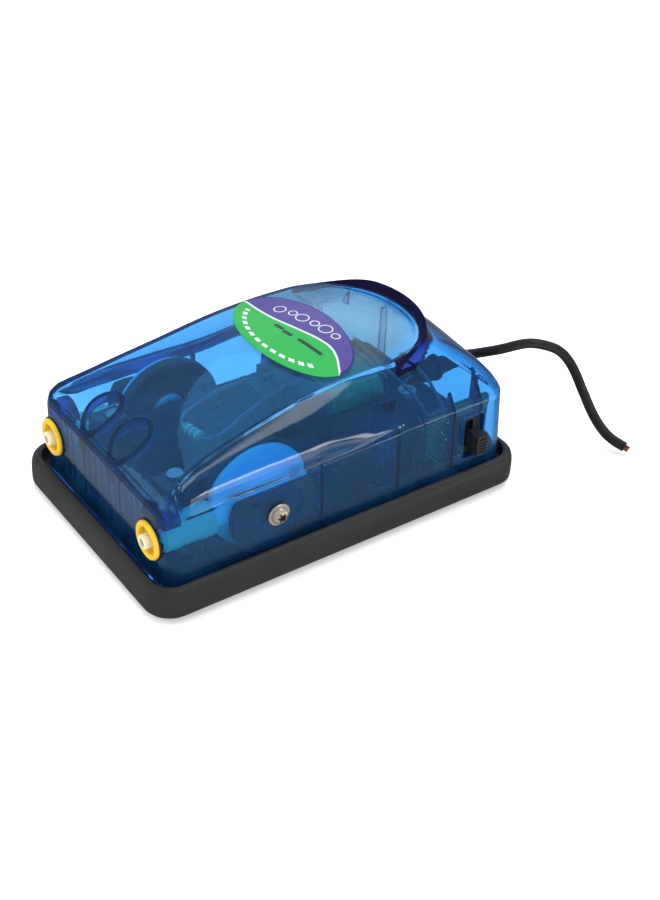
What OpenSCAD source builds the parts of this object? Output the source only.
// Twin-outlet aquarium air pump: a clear domed cover on a black base tray, with an
// electromagnet, two swinging magnet arms, two diaphragm pump heads and an air-flow slide.
// Millimetres, +Z up. The two outlets face -Y (front), the power cord leaves towards +Y (rear).
// Every module is drawn about the centre of the footprint; datum() then moves the pump so that
// the origin is the centre of the front left foot's resting face.

/* [Base tray] */
// Overall width of the tray, across X
base_w = 95.6; // [95:0.1:97]
// Overall length of the tray, along Y
base_l = 149; // [148.5:0.5:150]
// Corner radius of the tray in plan
base_r = 9.7; // [8:0.1:11]
// Height of the tray rim above the resting plane
rim_z = 13; // [12.8:0.1:13.4]
// Height of the rubber feet
foot_h = 2; // [1.5:0.1:2.5]
// Distance of the feet from the centre plane, across X
foot_x = 37; // [36:0.5:38]
// Distance of the feet from the middle, along Y
foot_y = 64; // [63:0.5:64.5]

/* [Cover] */
// Width of the cover at the rim
cover_w = 86.4; // [86:0.1:87]
// Length of the cover
cover_l = 138; // [137.6:0.1:138.4]
// Wall thickness of the cover
wall = 1.8; // [1.6:0.1:2]
// Height of the rear rim lip above the head
lip_h = 4.3; // [1:0.1:4.6]

/* [Outlets] */
// Distance of each outlet from the centre plane
outlet_x = 32.5; // [32:0.1:33]
// Height of the outlet axis
outlet_z = 24.3; // [24:0.1:24.6]
// Diameter of the hose nipple
nipple_d = 5; // [4.8:0.1:5.2]
// Bore of the hose nipple
nipple_bore = 3; // [2.4:0.1:3.2]

/* [Air-flow slide] */
// Travel of the air-flow knob
knob_travel = 6; // [3:0.5:6]

/* [Power cord] */
// Diameter of the cord jacket
cord_d = 3.8; // [3.4:0.1:4]

/* [Hidden] */
$fn = 64;

// ---------- shared places ----------
tray_z = foot_h;               // underside of the tray
tray_shift_y = -0.5;           // the tray reaches a little further forward than back
floor_z = 4;                   // top of the tray floor
ledge_z = 7.95;                // ledge the cover stands on
cover_z = 8;                   // foot of the cover
front_y = -cover_l / 2 + 0.1;  // front wall face
rear_y = cover_l / 2 + 0.1;    // rear wall face at the rim
wall_x = 42.85;                // outer face of the side wall at the pump head axis
axis_z = 24;                   // mid-height of the pump heads, arms and electromagnet
pump_y = -28;                  // pump head axis
pivot_x = 20;
pivot_y = -52;
intake_y = -10;
core_screw_x = 19.7;
core_screw_y = 40;
winding_half = 15.4;           // half width of the coil winding
board_from = [35.2, 36.1, 13]; // opposite corners of the circuit board
board_to = [36.8, 62.9, 35.5];
knob_y = 53.1;
knob_z = 19.6;                 // bottom of the knob, 2 mm above the end of its travel
cord_z = 25;
nipple_r = nipple_d / 2;
// Screw bosses joining cover and tray: [x, y, height of the cover boss]
BOSSES = [[31.5, 21, 33], [-31.5, 21, 33], [12, -61.5, 26], [-12, -61.5, 26]];

// ---------- solids ----------
module box(from, to) { translate(from) cube(to - from); }
// box centred on axis_z; x and y are [from, to]
module mid_box(x, y, half_h) {
  box([x[0], y[0], axis_z - half_h], [x[1], y[1], axis_z + half_h]);
}
// cylinder along X from x0 to x1
module xcyl(r, x0, x1) { translate([x0, 0, 0]) rotate([0, 90, 0]) cylinder(r = r, h = x1 - x0); }
// cylinder along Y from y0 to y1
module ycyl(r, y0, y1) { translate([0, y0, 0]) rotate([-90, 0, 0]) cylinder(r = r, h = y1 - y0); }
// profile of [radius, x] revolved about the X axis
module xturn(profile) { rotate([90, 0, 90]) rotate_extrude() polygon(profile); }
// profile of [radius, y] revolved about the Y axis
module yturn(profile) { rotate([-90, 0, 0]) rotate_extrude() polygon(profile); }
// crossed slots of a screw head whose axis is Z
module cross_slot(half_l, half_w, z0, z1) {
  for (a = [0, 90]) rotate([0, 0, a]) box([-half_l, -half_w, z0], [half_l, half_w, z1]);
}

// outline of a rounded rectangle, n points on each corner
function round_rect(half_x, half_y, r, n = 9) = [
  for (q = [[1, 1, 0], [-1, 1, 90], [-1, -1, 180], [1, -1, 270]]) for (k = [0:n - 1])
    let (a = q[2] + 90 * k / (n - 1))
    [q[0] * (half_x - r) + r * cos(a), q[1] * (half_y - r) + r * sin(a)]];
module plate(half_x, half_y, r, z0, z1) {
  translate([0, 0, z0]) linear_extrude(z1 - z0) polygon(round_rect(half_x, half_y, r));
}
// closed solid through a list of rings, each with the same number of 3D points
module loft(rings) {
  m = len(rings);
  n = len(rings[0]);
  polyhedron(points = [for (ring = rings) each ring], faces = concat(
    [[for (k = [0:n - 1]) k]],
    [[for (k = [n - 1:-1:0]) (m - 1) * n + k]],
    [for (j = [0:m - 2]) for (k = [0:n - 1]) let (next = (k + 1) % n)
      [j * n + next, j * n + k, (j + 1) * n + k, (j + 1) * n + next]]));
}

function unit(v) = v / norm(v);
function tangent(path, i) = unit(path[min(i + 1, len(path) - 1)] - path[max(i - 1, 0)]);
// the two cross-section axes at each path point, carried on from the point before
function frames(path, i, up) = i >= len(path) ? [] :
  let (t = tangent(path, i), side = unit(up - (up * t) * t))
  concat([[side, cross(t, side)]], frames(path, i + 1, side));
// smooth curve through 3D control points, in four steps from each to the next
function spline(points, steps = 4) = let (last = len(points) - 1) concat(
  [for (i = [0:last - 1]) for (s = [0:steps - 1])
    let (
      t = s / steps,
      p0 = points[max(i - 1, 0)],
      p1 = points[i],
      p2 = points[i + 1],
      p3 = points[min(i + 2, last)]
    )
    0.5 * (2 * p1 + (p2 - p0) * t + (2 * p0 - 5 * p1 + 4 * p2 - p3) * t * t
      + (3 * p1 - p0 - 3 * p2 + p3) * t * t * t)],
  [points[last]]);
// round cable of n sides through control points
module cable(points, r, n = 8) {
  path = spline(points);
  axes = frames(path, 0, [0.3, 0.2, 1]);
  loft([for (i = [0:len(path) - 1]) [for (k = [0:n - 1])
    path[i] + r * cos(360 * k / n) * axes[i][0] + r * sin(360 * k / n) * axes[i][1]]]);
}

// ---------- placing ----------
module both_sides() for (s = [0, 1]) mirror([s, 0, 0]) children();
module at_feet()
  for (x = [-foot_x, foot_x]) for (y = [-foot_y, foot_y]) translate([x, y, 0]) children();
module at_bosses(z) for (b = BOSSES) translate([b[0], b[1], z]) children();
module at_pump() translate([0, pump_y, axis_z]) children();
module at_outlet() translate([outlet_x, 0, outlet_z]) children();
module at_pivot(z) translate([pivot_x, pivot_y, z]) children();
module at_core_screw(z) translate([core_screw_x, core_screw_y, z]) children();

// ---------- cover surface ----------
// The top is a raised tongue that ends at the rear in a round head. Flanks fall from its edge
// (the ridge) to a crease at the top of the side walls. In these functions t is how far the
// surface lies inside the outer one: 0 outside, wall inside.
head_y = 21.5;                 // centre of the round head
head_r = 30;
crown_h = 2.5;                 // full height of the crown over the tongue edge
corner_r = 7;                  // front corners in plan
rear_corner_r = 7.5;
rim_y = 19.3;                  // circle of the rear rim lip in plan
rim_r = 34;
crease_z = 38;                 // crease height behind the head centre
flank_steps = 6;
// Along Y: [y, height of the tongue edge]
EDGE_Z = [[-68.9, 35.4], [-68.3, 36.8], [-67, 38.2], [-64, 41.3], [-60, 44.0], [-50, 47.4],
  [-30, 51.8], [-10, 55.5], [7, 56.9], [24, 56.9], [40, 56.3], [54, 55.5]];
// [y, half width of the tongue]
RIDGE_X = [[-69, 40], [-62, 36.2], [-55, 33.9], [-50, 33], [-30, 31.2], [-10, 30.3], [7, 30],
  [24, 30]];
// [y, height of the crown over the tongue edge]
CROWN_H = [[-68.9, 0], [-66, 0.3], [-60, 1.3], [-50, 2.1], [-30, crown_h], [60, crown_h]];
// [y, height of the side crease]
CREASE_Z = [[-68.9, 35.1], [-62, 36.1], [-20, 36.9], [40, 37.9], [69, 38.1]];
// Front stations: distance back from the front wall; the last is the head centre
STATIONS = [0, 0.5, 1.2, 2.2, 3.4, 5, 6.5, 8, 9.5, 11.5, 14, 19, 25, 32, 39, 46, 53, 60, 67, 75,
  83, 90.4];
// Stations around the head centre: angle from +X
ANGLES = [8, 16, 25, 34, 41, 47, 54, 63, 76, 90, 104, 117, 126, 133, 139, 146, 155, 164, 172];

function blend(a, b, t) = a + (b - a) * t;
// eases from 0 to 1 as t runs from start to end
function ease(start, end, t) =
  let (u = min(1, max(0, (t - start) / (end - start)))) u * u * (3 - 2 * u);

// cubic through a table of [t, value], with central-difference slopes
function span(t, table, i = 0) =
  (i >= len(table) - 2 || t < table[i + 1][0]) ? i : span(t, table, i + 1);
function slope(table, i) =
  let (a = table[max(i - 1, 0)], b = table[min(i + 1, len(table) - 1)])
  (b[1] - a[1]) / (b[0] - a[0]);
function curve(t, table) =
  let (
    within = min(max(t, table[0][0]), table[len(table) - 1][0]),
    i = span(within, table),
    h = table[i + 1][0] - table[i][0],
    s = (within - table[i][0]) / h
  )
  (2 * s * s * s - 3 * s * s + 1) * table[i][1]
  + (s * s * s - 2 * s * s + s) * h * slope(table, i)
  + (-2 * s * s * s + 3 * s * s) * table[i + 1][1]
  + (s * s * s - s * s) * h * slope(table, i + 1);

function edge_z(y) = curve(y, EDGE_Z);
function top_z(x, y) = edge_z(y) + curve(y, CROWN_H)
  * (1 - pow(x / head_r, 2) - (y > head_y ? pow((y - head_y) / head_r, 2) : 0));
// side wall face, leaning in with height
function side_x(z) = cover_w / 2 - 0.052 * (z - rim_z);
function foot_z(t) = cover_z - (t > 0 ? 0.5 : 0);
// how far the front corner rounding pulls the side wall in
function corner_in(y, r) =
  let (d = front_y + corner_r - y) d > 0 ? r - sqrt(max(0, r * r - d * d)) : 0;
// distance from the head centre to a rounded rectangle, along angle a
function reach(a, half_x, half_y, r) =
  let (
    to_side = cos(a) > 0.001 ? half_x / cos(a) : 1e6,
    to_rear = sin(a) > 0.001 ? (half_y - head_y) / sin(a) : 1e6,
    cx = half_x - r,
    cy = half_y - r - head_y,
    b = cx * cos(a) + cy * sin(a)
  )
  head_y + to_side * sin(a) <= half_y - r ? to_side
  : to_rear * cos(a) <= half_x - r ? to_rear
  : b + sqrt(max(0, b * b - cx * cx - cy * cy + r * r));
// flank from crease to ridge, both [out, z]; flute 1 is scooped, 0 a rounded shoulder
function flank(crease, ridge, flute) = [for (i = [1:flank_steps])
  let (
    u = i / flank_steps,
    shoulder_out = 0.45 * u + 0.55 * (1 - cos(90 * u)),
    shoulder_up = 0.45 * u + 0.55 * sin(90 * u)
  )
  [blend(crease[0], ridge[0], flute * sin(90 * u) + (1 - flute) * shoulder_out),
   blend(crease[1], ridge[1], flute * (1 - cos(90 * u)) + (1 - flute) * shoulder_up)]];

// half section at y, in front of the head centre: [x, z] from the foot up to near the centre
function half_front(y, t) =
  let (
    crease = curve(y, CREASE_Z) - t,
    corner = corner_in(y, corner_r - t),
    edge = edge_z(y) - t,
    out = side_x(crease) - t - corner,
    ridge = min(curve(y, RIDGE_X) - 0.8 * t, out - 1.6),
    flute = ease(-63.5, -58.5, y) * (1 - 0.45 * ease(-12, head_y, y))
  )
  concat(
    [[side_x(cover_z) - t - corner, foot_z(t)],
     [side_x(crease - 2.2) - t - corner, crease - 2.2],
     [out - 0.15, crease - 0.8],
     [out - 0.8, crease]],
    flank([out - 0.8, crease], [ridge + 0.12, edge - 0.12], flute),
    [[ridge + 0.06, edge - 0.03], [ridge, edge]],
    [for (k = [0.7, 0.4]) [ridge * k, edge + curve(y, CROWN_H) * (1 - k * k)]]);

// half section along angle a, behind the head centre: [distance from the centre, z]
function half_polar(a, t) =
  let (
    crease = crease_z - t,
    off_side = min(a, 180 - a),
    out = reach(off_side, side_x(crease) - t, rear_y - 0.8 - t, rear_corner_r - t),
    out_foot = reach(off_side, side_x(cover_z) - t, rear_y + 0.1 - t, rear_corner_r - t),
    rearward = ease(12, 66, off_side),
    ridge = head_r - 0.8 * t,
    offset_y = rim_y - head_y,
    b = offset_y * sin(a),
    rim = b + sqrt(b * b - offset_y * offset_y + rim_r * rim_r) - (t > 0 ? 1.6 : 0),
    flank_end = blend(ridge + 0.12, rim, rearward),
    edge = edge_z(min(head_y + ridge * sin(a), 52)) - t,
    lip = t > 0 ? 0 : lip_h * rearward * (0.3 + 0.7 * sin(a)),
    flute = 0.55 * (1 - ease(0, 55, off_side))
  )
  concat(
    [[out_foot, foot_z(t)],
     [out + 0.06, crease - 2.2],
     [out - 0.15, crease - 0.8],
     [out - 0.8, crease]],
    flank([out - 0.8, crease], [flank_end, edge - 0.12 - 1.1 * rearward], flute),
    [[flank_end - 0.06 - 0.15 * rearward, edge - 0.03 + lip], [ridge, edge]],
    [for (k = [0.7, 0.4]) [ridge * k, edge_z(head_y + ridge * k * sin(a)) - t
      + crown_h * (1 - k * k * ridge * ridge / head_r / head_r)]]);

module cover_form(t) {
  n = flank_steps + 8;         // points on a half section, before the centre
  row = 2 * n + 1;             // points on a whole front section
  last = STATIONS[len(STATIONS) - 1];
  start = front_y + t;
  ys = [for (s = STATIONS) s == last ? head_y : start + s * (head_y - start) / last];
  front = [for (y = ys) let (h = half_front(y, t)) concat(
    [for (p = h) [p[0], y, p[1]]],
    [[0, y, top_z(0, y) - t]],
    [for (k = [n - 1:-1:0]) [-h[k][0], y, h[k][1]]])];
  polar = [for (a = ANGLES)
    [for (p = half_polar(a, t)) [p[0] * cos(a), head_y + p[0] * sin(a), p[1]]]];
  nf = len(ys);
  np = len(ANGLES);
  head_row = (nf - 1) * row;   // first point of the section through the head centre
  centre = head_row + n;
  // index of point k of polar station i; -1 and np are the two halves of the head section
  function at(i, k) = i < 0 ? head_row + k
    : i >= np ? head_row + 2 * n - k
    : nf * row + i * n + k;
  polyhedron(
    points = concat([for (s = front) each s], [for (s = polar) each s]),
    faces = concat(
      [for (j = [0:nf - 2]) for (k = [0:row - 2]) let (p = j * row + k, q = p + row)
        each [[p, p + 1, q + 1], [p, q + 1, q]]],
      [for (i = [-1:np - 1]) for (k = [0:n - 2])
        each [[at(i, k), at(i, k + 1), at(i + 1, k + 1)],
              [at(i, k), at(i + 1, k + 1), at(i + 1, k)]]],
      [for (i = [-1:np - 1]) [at(i, n - 1), centre, at(i + 1, n - 1)]],
      // front face, then underside
      [[for (k = [row - 1:-1:0]) k]],
      [concat([for (j = [0:nf - 1]) j * row], [for (i = [0:np - 1]) at(i, 0)],
        [for (j = [nf - 1:-1:0]) j * row + 2 * n])]));
}

// Blocks inside the cover on the right, mirrored to the left: [from, to]
COVER_RIBS = [
  [[31.5, 20.2, 14], [41.2, 21.8, 36.4]],   // side wall to rear boss
  [[11.2, -68, 14], [12.8, -61.5, 35]],     // front wall to front boss
  [[39, -11, 14], [41.2, -9.6, 36]],        // side wall, middle
  [[38.5, 44, 14], [41.2, 45.2, 36]],       // side wall, rear
  [[26, 64, 14], [27.2, 68.2, 37]],         // rear wall
  [[28, -68, 31.5], [37, -61, 36.8]]        // saddle over the outlet tube
];
module top_cover() color([0.10, 0.35, 0.75, 0.45]) difference() {
  union() {
    difference() {
      cover_form(0);
      cover_form(wall);
    }
    for (b = BOSSES) translate([b[0], b[1], 11.5]) cylinder(r = 3.5, h = b[2]);
    both_sides() for (rib = COVER_RIBS) box(rib[0], rib[1]);
  }
  at_bosses(11) cylinder(r = 1.3, h = 14);
  both_sides() {
    at_outlet() ycyl(5.3, -72, -64);
    at_pump() xcyl(2.1, 38, 46);
  }
  // slot for the air-flow knob
  box([38, knob_y - 4.2, knob_z - 3], [46, knob_y + 4.2, knob_z + 7 + knob_travel]);
  // hole for the cord grommet
  translate([0, 0, cord_z]) ycyl(3.7, 62, 74);
}

// ---------- base ----------
// Tray side from bottom to rim: [z, inset, reduction of the corner radius]
TRAY_SIDE = [[tray_z, 0.7, 0.7], [tray_z + 0.8, 0.1, 0.1], [tray_z + 3, 0, 0],
  [tray_z + 7.4, 0.15, 0.15], [tray_z + 9.2, 0.6, 0.5], [tray_z + 10.4, 1.4, 1.2],
  [rim_z, 2.4, 2]];
module tray_shell() {
  half_x = base_w / 2;
  half_y = base_l / 2;
  translate([0, tray_shift_y, 0]) difference() {
    loft([for (s = TRAY_SIDE)
      [for (p = round_rect(half_x - s[1], half_y - s[1], base_r - s[2])) [p[0], p[1], s[0]]]]);
    plate(half_x - 3.1, half_y - 3.3, 8, ledge_z, 20);
    translate([0, -tray_shift_y, 0]) plate(40.2, 65.6, 5, floor_z, 20);
  }
}
module base_tray() color([0.13, 0.13, 0.14]) {
  post_z = floor_z - 0.5;      // posts start inside the floor
  core_rest_z = 14.95;         // top of the supports under the core
  clearance = [0.1, 0.1, 0.1]; // around the circuit board
  difference() {
    union() {
      tray_shell();
      at_bosses(post_z) cylinder(r = 4.5, h = 7.9);
      both_sides() {
        at_core_screw(post_z) cylinder(r = 4.5, h = core_rest_z - post_z);
        box([17, 8, post_z], [22.5, 12, core_rest_z]);
      }
      // grooved posts that hold the circuit board
      for (y = [35.2, 60.2]) box([33.4, y, post_z], [38.6, y + 3.6, 17]);
    }
    at_bosses(0) {
      cylinder(r = 3.4, h = 5);
      cylinder(r = 1.7, h = 13);
    }
    both_sides() at_core_screw(5) cylinder(r = 2, h = 12);
    box(board_from - clearance, [board_to[0] + 0.1, board_to[1] + 0.1, 20]);
    at_feet() cylinder(r = 6.1, h = 3);
    // felt recess and its three slots through the floor
    translate([0, intake_y, 0]) cylinder(r = 9.1, h = 3);
    for (x = [-4, 0, 4]) box([x - 0.8, intake_y - 5, 0], [x + 0.8, intake_y + 5, 6]);
  }
}
module rubber_feet() color([0.08, 0.08, 0.08]) at_feet()
  rotate_extrude() polygon([[0, 0], [5.2, 0], [5.8, 0.6], [6, 2.95], [0, 2.95]]);
module base_screws() color([0.6, 0.6, 0.6]) at_bosses(0) difference() {
  union() {
    translate([0, 0, 2.8]) cylinder(r = 3, h = 2.15);
    translate([0, 0, 4.9]) cylinder(r = 1.25, h = 17);
  }
  cross_slot(2, 0.4, 2, 3.9);
}
module intake_felt() color([0.85, 0.85, 0.82])
  translate([0, intake_y, 2.1]) cylinder(r = 9, h = 0.85);

// ---------- label ----------
// oval sheet lying on the crown
module label_sticker() {
  centre = [-0.5, 5.3];
  half_x = 28.2;
  half_y = 15.6;
  over = 0.32;                 // top and underside, above the cover
  under = 0.12;
  n = 40;                      // points around
  rings = 5;
  function point(i, k, lift) =
    let (
      a = 360 * k / n,
      x = centre[0] + half_x * i / rings * cos(a),
      y = centre[1] + half_y * i / rings * sin(a)
    )
    [x, y, top_z(x, y) + lift];
  low = 1 + rings * n;         // index of the first underside point
  function at(i, k) = i == 0 ? 0 : 1 + (i - 1) * n + (k % n);
  color([0.25, 0.7, 0.35]) polyhedron(
    points = [for (lift = [over, under]) for (i = [0:rings])
      for (k = [0:(i == 0 ? 0 : n - 1)]) point(i, k, lift)],
    faces = concat(
      [for (k = [0:n - 1]) [0, at(1, k + 1), at(1, k)]],
      [for (k = [0:n - 1]) [low, low + at(1, k), low + at(1, k + 1)]],
      [for (i = [1:rings - 1]) for (k = [0:n - 1])
        let (a = at(i, k), b = at(i, k + 1), c = at(i + 1, k + 1), d = at(i + 1, k))
        each [[a, b, c], [a, c, d], [low + a, low + c, low + b], [low + a, low + d, low + c]]],
      [for (k = [0:n - 1]) let (a = at(rings, k), b = at(rings, k + 1))
        each [[a, b, low + b], [a, low + b, low + a]]]));
}

// ---------- outlets ----------
// From here on, each left piece is the mirror image of the right one, which lies at +X.
// Profiles of [radius, y]
SEAL = [[5.4, -69.25], [7.1, -69.25], [7.1, -68.95], [5.4, -68.95]];
RING = [[nipple_r - 0.35, -68.2], [4.2, -68.2], [4.5, -70.2], [4.9, -70.55], [5.6, -70.75],
  [6.4, -70.5], [6.65, -69.9], [6.65, -69.3], [5.2, -69.3], [5.2, -66.8],
  [nipple_r - 0.35, -66.8]];
NOZZLE = [[nipple_bore / 2, -72.1], [nipple_r - 0.4, -72.1], [nipple_r, -71.6],
  [nipple_r, -68.25], [nipple_r - 0.4, -68.25], [nipple_r - 0.4, -66.7], [4.9, -66.7],
  [4.9, -65.6], [5.4, -65.1], [5.4, -48.1], [2.95, -48.1], [2.95, -43.5],
  [nipple_bore / 2, -43.5]];
module outlet_seals() color([0.06, 0.06, 0.06]) both_sides() at_outlet() yturn(SEAL);
module outlet_ring_right() color([0.88, 0.7, 0.22]) at_outlet() yturn(RING);
module outlet_ring_left() mirror([1, 0, 0]) outlet_ring_right();
module outlet_nozzle_right() color([0.9, 0.88, 0.78]) at_outlet() yturn(NOZZLE);
module outlet_nozzle_left() mirror([1, 0, 0]) outlet_nozzle_right();

// ---------- side fixings ----------
// Profiles of [radius, x]
SIDE_SCREW = [[0, 34.5], [1.9, 34.5], [1.9, wall_x + 0.55], [3.1, wall_x + 0.55],
  [3.0, wall_x + 1.4], [2.1, wall_x + 2.3], [0, wall_x + 2.6]];
WASHER = [[2.1, wall_x + 0.05], [4, wall_x + 0.05], [4, wall_x + 0.5], [2.1, wall_x + 0.5]];
module side_screws() color([0.72, 0.7, 0.66]) both_sides() at_pump() difference() {
  xturn(SIDE_SCREW);
  rotate([20, 0, 0]) rotate([0, 90, 0]) cross_slot(1.7, 0.4, wall_x + 1.2, wall_x + 4);
}
module side_washers() color([0.78, 0.76, 0.72]) both_sides() at_pump() xturn(WASHER);
// disc with a raised outer ring, hub and arm, cut flat above and open below
module mount_pad_right() color([0.1, 0.09, 0.09]) at_pump() intersection() {
  face_x = 38.5;               // raised parts run from here to the pad's outer face
  outer_x = 40.25;
  difference() {
    union() {
      xcyl(15.8, 37.45, 39);
      difference() {
        xcyl(15.8, face_x, outer_x);
        xcyl(10.4, 38, 41);
        box([38, -6, -20], [41, 6, 0]);
      }
      xcyl(5, face_x, outer_x);
      box([face_x, -12, -0.7], [outer_x, 0, 3.7]);
    }
    xcyl(2.3, 36, 42);
  }
  box([36, -20, -19], [42, 20, 8.4]);
}
module mount_pad_left() mirror([1, 0, 0]) mount_pad_right();

// ---------- pump heads ----------
// Profiles of [radius, x]
CHAMBER = [[0, 28.6], [18.3, 28.6], [18.3, 30.6], [17.2, 31.3], [15.9, 32], [14.3, 33],
  [12.9, 34.2], [11.9, 35.4], [11.2, 36.4], [10.6, 37.4], [0, 37.4]];
DIAPHRAGM = [[1.6, 26.9], [7, 26.9], [8.4, 26.4], [9.6, 25.2], [11.4, 25.2], [12.6, 26.4],
  [13.6, 26.9], [15.6, 26.9], [15.6, 26.1], [18.8, 26.1], [18.8, 28.55], [13.6, 28.1],
  [12, 27.6], [11, 26.4], [10, 26.4], [9, 27.6], [7, 28.1], [1.6, 28.1]];
CLAMP = [[15.4, 24.6], [18.6, 24.6], [19.2, 25.2], [19.2, 28.4], [18.9, 28.4], [18.9, 26.05],
  [15.4, 26.05]];
INNER_PLATE = [[1.6, 25.65], [5.4, 25.65], [6, 26.2], [6, 26.85], [1.6, 26.85]];
OUTER_PLATE = [[1.6, 28.15], [6, 28.15], [6, 28.8], [5.4, 29.1], [1.6, 29.1]];
DIAPHRAGM_SCREW = [[0, 19], [1.5, 19], [1.5, 29.15], [2.8, 29.15], [2.7, 29.7], [2, 30.2],
  [0, 30.3]];
module pump_chamber_right() color([0.92, 0.93, 0.94]) difference() {
  union() {
    at_pump() xturn(CHAMBER);
    at_outlet() ycyl(3.85, -48, -36);
  }
  at_pump() {
    xcyl(13, 27, 33.25);
    // two cavities, parted by an upright web and a hub
    difference() {
      xcyl(10.5, 33, 35.8);
      box([32, -1, -16], [37, 1, 16]);
      xcyl(3.6, 33, 37);
    }
    xcyl(1.95, 34.3, 38);
  }
  // socket for the nozzle, then the passages at the front and rear of the cavities
  at_outlet() ycyl(3, -49, -43);
  translate([34.2, 0, outlet_z]) ycyl(1.3, -44, -37);
  translate([34.5, 0, axis_z]) ycyl(1.2, pump_y + 9, pump_y + 19);
}
module pump_chamber_left() mirror([1, 0, 0]) pump_chamber_right();
module valve_plate_right() color([0.75, 0.77, 0.8]) at_pump() difference() {
  xcyl(12.95, 31.8, 33.2);
  for (y = [-6.5, 6.5]) translate([0, y, 0]) xcyl(1.5, 31, 34);
}
module valve_plate_left() mirror([1, 0, 0]) valve_plate_right();
module inlet_flap_right() color([0.2, 0.2, 0.2])
  at_pump() box([31.3, 3.9, -2.6], [31.75, 9.4, 2.6]);
module inlet_flap_left() mirror([1, 0, 0]) inlet_flap_right();
module outlet_flap_right() color([0.2, 0.2, 0.2])
  at_pump() box([33.25, -9.2, -2.6], [33.7, -3.8, 2.6]);
module outlet_flap_left() mirror([1, 0, 0]) outlet_flap_right();
module diaphragm_right() color([0.07, 0.07, 0.08]) at_pump() xturn(DIAPHRAGM);
module diaphragm_left() mirror([1, 0, 0]) diaphragm_right();
module clamp_ring_right() color([0.12, 0.12, 0.13]) at_pump() difference() {
  xturn(CLAMP);
  box([20, -20, -3], [30, -15, 3]);
}
module clamp_ring_left() mirror([1, 0, 0]) clamp_ring_right();
module diaphragm_plates_right() color([0.9, 0.9, 0.9]) at_pump() {
  xturn(INNER_PLATE);
  xturn(OUTER_PLATE);
}
module diaphragm_plates_left() mirror([1, 0, 0]) diaphragm_plates_right();
module diaphragm_screw_right() color([0.7, 0.7, 0.7]) at_pump() difference() {
  xturn(DIAPHRAGM_SCREW);
  rotate([0, 90, 0]) cross_slot(1.4, 0.3, 29.6, 31);
}
module diaphragm_screw_left() mirror([1, 0, 0]) diaphragm_screw_right();

// ---------- swinging arms ----------
module swing_arm_right() color([0.17, 0.2, 0.21]) {
  end_y = 0.3;                 // rear end of the arm and of the holder's back
  holder_y = -1.6;             // front face of the magnet holder
  holder_half_h = 7.2;
  difference() {
    union() {
      at_pivot(axis_z - 7.3) cylinder(r = 4, h = 14.6);
      mid_box([18.6, 21.4], [pivot_y, end_y], 6);
      at_pump() xcyl(4, 21, 25.6);
      // magnet holder: a tray open towards the core
      mid_box([6.2, 21.4], [holder_y, end_y], holder_half_h);
      for (x = [5.2, 15.4]) mid_box([x, x + 1.5], [holder_y, 4.2], holder_half_h);
    }
    at_pivot(10) cylinder(r = 1.55, h = 30);
    at_pump() xcyl(1.55, 18.8, 30);
    for (y = [-42, -13]) translate([0, y, axis_z]) xcyl(3.2, pivot_x - 5, pivot_x + 5);
  }
}
module swing_arm_left() mirror([1, 0, 0]) swing_arm_right();
module arm_magnet_right() color([0.16, 0.16, 0.17]) mid_box([6.8, 15.3], [0.35, 5.0], 7);
module arm_magnet_left() mirror([1, 0, 0]) arm_magnet_right();
// Bracket plates: [y from, y to, z from, z to]; upright, lower lug, upper lug, foot
BRACKET = [[-58.6, -56.3, 4.05, 34], [-57, -48.6, 14, 16.45], [-57, -48.6, 31.55, 34],
  [-58.6, -50, 4.05, 6]];
module pivot_bracket_right() color([0.7, 0.72, 0.75]) difference() {
  union() for (b = BRACKET) box([16.6, b[0], b[2]], [25.4, b[1], b[3]]);
  at_pivot(10) cylinder(r = 1.52, h = 30);
}
module pivot_bracket_left() mirror([1, 0, 0]) pivot_bracket_right();
module pivot_pin_right() color([0.75, 0.75, 0.76]) at_pivot(13.6) {
  cylinder(r = 1.5, h = 21);
  translate([0, 0, 20.45]) cylinder(r = 2.5, h = 1);
}
module pivot_pin_left() mirror([1, 0, 0]) pivot_pin_right();

// ---------- electromagnet ----------
// E-shaped core, its three legs pointing forward
module core_laminations() color([0.25, 0.25, 0.27]) difference() {
  mid_box([-23, 23], [6.2, 44], 9);
  both_sides() {
    box([5.5, 0, 10], [16.5, 36, 40]);
    at_core_screw(10) cylinder(r = 2.2, h = 30);
  }
}
module core_screws() color([0.7, 0.7, 0.68]) both_sides() at_core_screw(0) difference() {
  union() {
    translate([0, 0, 6]) cylinder(r = 1.95, h = 28);
    translate([0, 0, 33.05]) cylinder(r = 3.2, h = 2.2);
  }
  cross_slot(2.1, 0.4, 34.2, 37);
}
module coil_bobbin() color([0.86, 0.86, 0.82]) difference() {
  union() {
    mid_box([-7, 7], [9, 35], 10.6);
    for (y = [9, 33.5]) box([-16, y, 7.5], [16, y + 1.5, 40.2]);
  }
  mid_box([-5.6, 5.6], [0, 40], 9.1);
}
// rounded square sleeve from rear_end forwards, hollowed by the 2D child
module coil_sleeve(rear_end, length, half, r)
  translate([0, rear_end, axis_z]) rotate([90, 0, 0]) difference() {
    linear_extrude(length) polygon(round_rect(half, half, r, 5));
    translate([0, 0, -1]) linear_extrude(25) children();
  }
module coil_winding() color([0.62, 0.3, 0.12])
  coil_sleeve(33.4, 22.8, winding_half, 4) square([14.1, 21.3], center = true);
module coil_tape() color([0.1, 0.55, 0.35]) coil_sleeve(33, 22, winding_half + 0.55, 4.5)
  polygon(round_rect(winding_half + 0.05, winding_half + 0.05, 4, 5));

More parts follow.
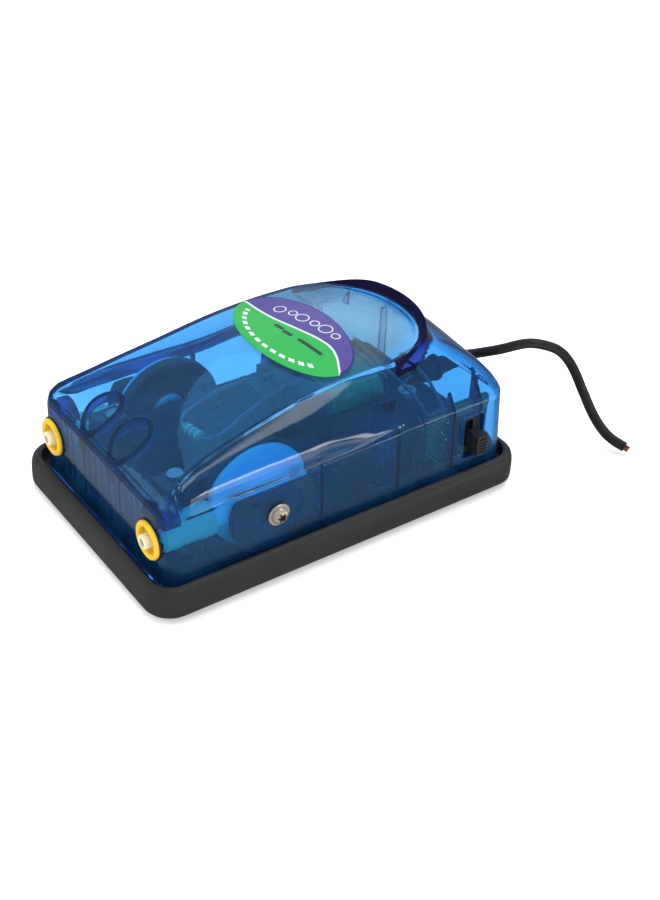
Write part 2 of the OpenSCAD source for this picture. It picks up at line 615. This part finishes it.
// ---------- electrics ----------
module circuit_board() color([0.1, 0.45, 0.25]) box(board_from, board_to);
module board_diodes() color([0.12, 0.12, 0.12])
  for (z = [18, 24]) translate([33.75, 0, z]) ycyl(1.35, 40, 45.4);
module board_capacitor() color([0.75, 0.45, 0.15]) box([30.2, 48, 20], [35.15, 58, 30]);
module flow_switch_body() color([0.1, 0.1, 0.11]) difference() {
  box([36.85, knob_y - 5.5, knob_z - 2.6], [40.0, knob_y + 5.5, knob_z + 5 + knob_travel]);
  box([38.2, knob_y - 1.6, knob_z - 0.4], [41, knob_y + 1.6, knob_z + 4 + knob_travel]);
}
module flow_knob() color([0.09, 0.09, 0.09]) difference() {
  union() {
    box([38.4, knob_y - 1.5, knob_z + 2], [41.8, knob_y + 1.5, knob_z + 5.6]);
    box([41.4, knob_y - 2.2, knob_z], [47.6, knob_y + 2.2, knob_z + 7.6]);
  }
  // grip grooves
  for (z = [1.2:1.3:6.6])
    box([47.1, knob_y - 1.7, knob_z + z - 0.3], [48, knob_y + 1.7, knob_z + z + 0.3]);
}
module inline_resistor() color([0.1, 0.6, 0.4]) translate([-2.7, -35.1, 33.2])
  rotate([0, 0, 8]) xturn([[0, 0], [1.4, 0], [1.9, 0.6], [1.9, 8.4], [1.4, 9], [0, 9]]);

// Wires: [radius, control points]
LEADS = [
  // coil to the right end of the resistor
  [0.55, [[3, 8, 41.2], [4, -2, 40.5], [8, -18, 38.5], [10.5, -28, 36], [8.6, -32.6, 33.9],
    [6.75, -33.8, 33.2]]],
  // coil to the left end of the resistor
  [0.55, [[-3, 8, 41.2], [-6, -4, 40.5], [-9, -18, 38], [-8, -31, 35], [-5.4, -34.9, 33.4],
    [-3.2, -35.2, 33.2]]],
  // cord to the upper part of the board
  [0.6, [[-1.1, 58.3, cord_z], [-1.1, 56.6, cord_z + 0.2], [-1.6, 53.2, 30], [6, 50, 38],
    [20, 48, 38], [29, 47, 34], [34.5, 46.4, 31.5]]],
  // cord to the lower part of the board
  [0.6, [[1.1, 58.3, cord_z], [1.1, 56.6, cord_z - 0.1], [2.6, 53.4, 23.2], [10, 52, 18],
    [22, 50, 12], [30, 47, 15], [34.5, 46.6, 17.5]]],
  // board to the coil
  [0.55, [[34.7, 38.2, 32], [30, 37, 37], [20, 36.2, 40.5], [10, 36.4, 41.4], [6, 36.2, 41]]]
];
module lead_wires() color([0.15, 0.3, 0.6]) for (lead = LEADS) cable(lead[1], lead[0]);

// ---------- power cord ----------
// [radius, y]
GROMMET = [[2.1, 58.6], [3.2, 58.6], [5, 64], [5, 66.5], [3.5, 66.5], [3.5, 69], [5.4, 69],
  [5.4, 70.2], [3.9, 70.9], [3.4, 75], [2.8, 81.5], [2.1, 81.5]];
// control points from the inner end to the cut end
CORD = [[0, 58.5, cord_z], [0, 70, cord_z], [0, 79, cord_z], [0, 83, cord_z], [2.4, 87.7, 25.6],
  [8.3, 93.6, 28.5], [13.4, 103, 30.9], [17, 110.8, 29], [20, 115.4, 26], [24, 118.1, 20.8],
  [30.6, 117.9, 14.7], [38.6, 115.9, 10.3], [45, 115.1, 7.2], [50.1, 116, 4.8],
  [55.4, 118.3, 3.1]];
module cord_grommet() color([0.07, 0.07, 0.07]) translate([0, 0, cord_z]) yturn(GROMMET);
module power_cord() color([0.06, 0.06, 0.06]) cable(CORD, cord_d / 2, 14);
// two cores showing at the cut end
module cord_cores() color([0.5, 0.3, 0.15]) {
  end = CORD[len(CORD) - 1];
  dir = unit(end - CORD[len(CORD) - 2]);
  for (s = [-1, 1]) translate(end + dir * 0.2 + s * 0.85 * [-dir[1], dir[0], 0])
    rotate([0, 90 - atan2(dir[2], norm([dir[0], dir[1]])), atan2(dir[1], dir[0])])
      cylinder(r = 0.7, h = 1.6);
}

module datum() translate([foot_x, foot_y, 0]) children();

datum() base_tray();
datum() rubber_feet();
datum() base_screws();
datum() intake_felt();
datum() top_cover();
datum() label_sticker();
datum() outlet_seals();
datum() outlet_ring_left();
datum() outlet_ring_right();
datum() outlet_nozzle_left();
datum() outlet_nozzle_right();
datum() side_screws();
datum() side_washers();
datum() mount_pad_left();
datum() mount_pad_right();
datum() pump_chamber_left();
datum() pump_chamber_right();
datum() valve_plate_left();
datum() valve_plate_right();
datum() inlet_flap_left();
datum() inlet_flap_right();
datum() outlet_flap_left();
datum() outlet_flap_right();
datum() diaphragm_left();
datum() diaphragm_right();
datum() clamp_ring_left();
datum() clamp_ring_right();
datum() diaphragm_plates_left();
datum() diaphragm_plates_right();
datum() diaphragm_screw_left();
datum() diaphragm_screw_right();
datum() swing_arm_left();
datum() swing_arm_right();
datum() arm_magnet_left();
datum() arm_magnet_right();
datum() pivot_bracket_left();
datum() pivot_bracket_right();
datum() pivot_pin_left();
datum() pivot_pin_right();
datum() core_laminations();
datum() core_screws();
datum() coil_bobbin();
datum() coil_winding();
datum() coil_tape();
datum() circuit_board();
datum() board_diodes();
datum() board_capacitor();
datum() flow_switch_body();
datum() flow_knob();
datum() inline_resistor();
datum() lead_wires();
datum() cord_grommet();
datum() power_cord();
datum() cord_cores();
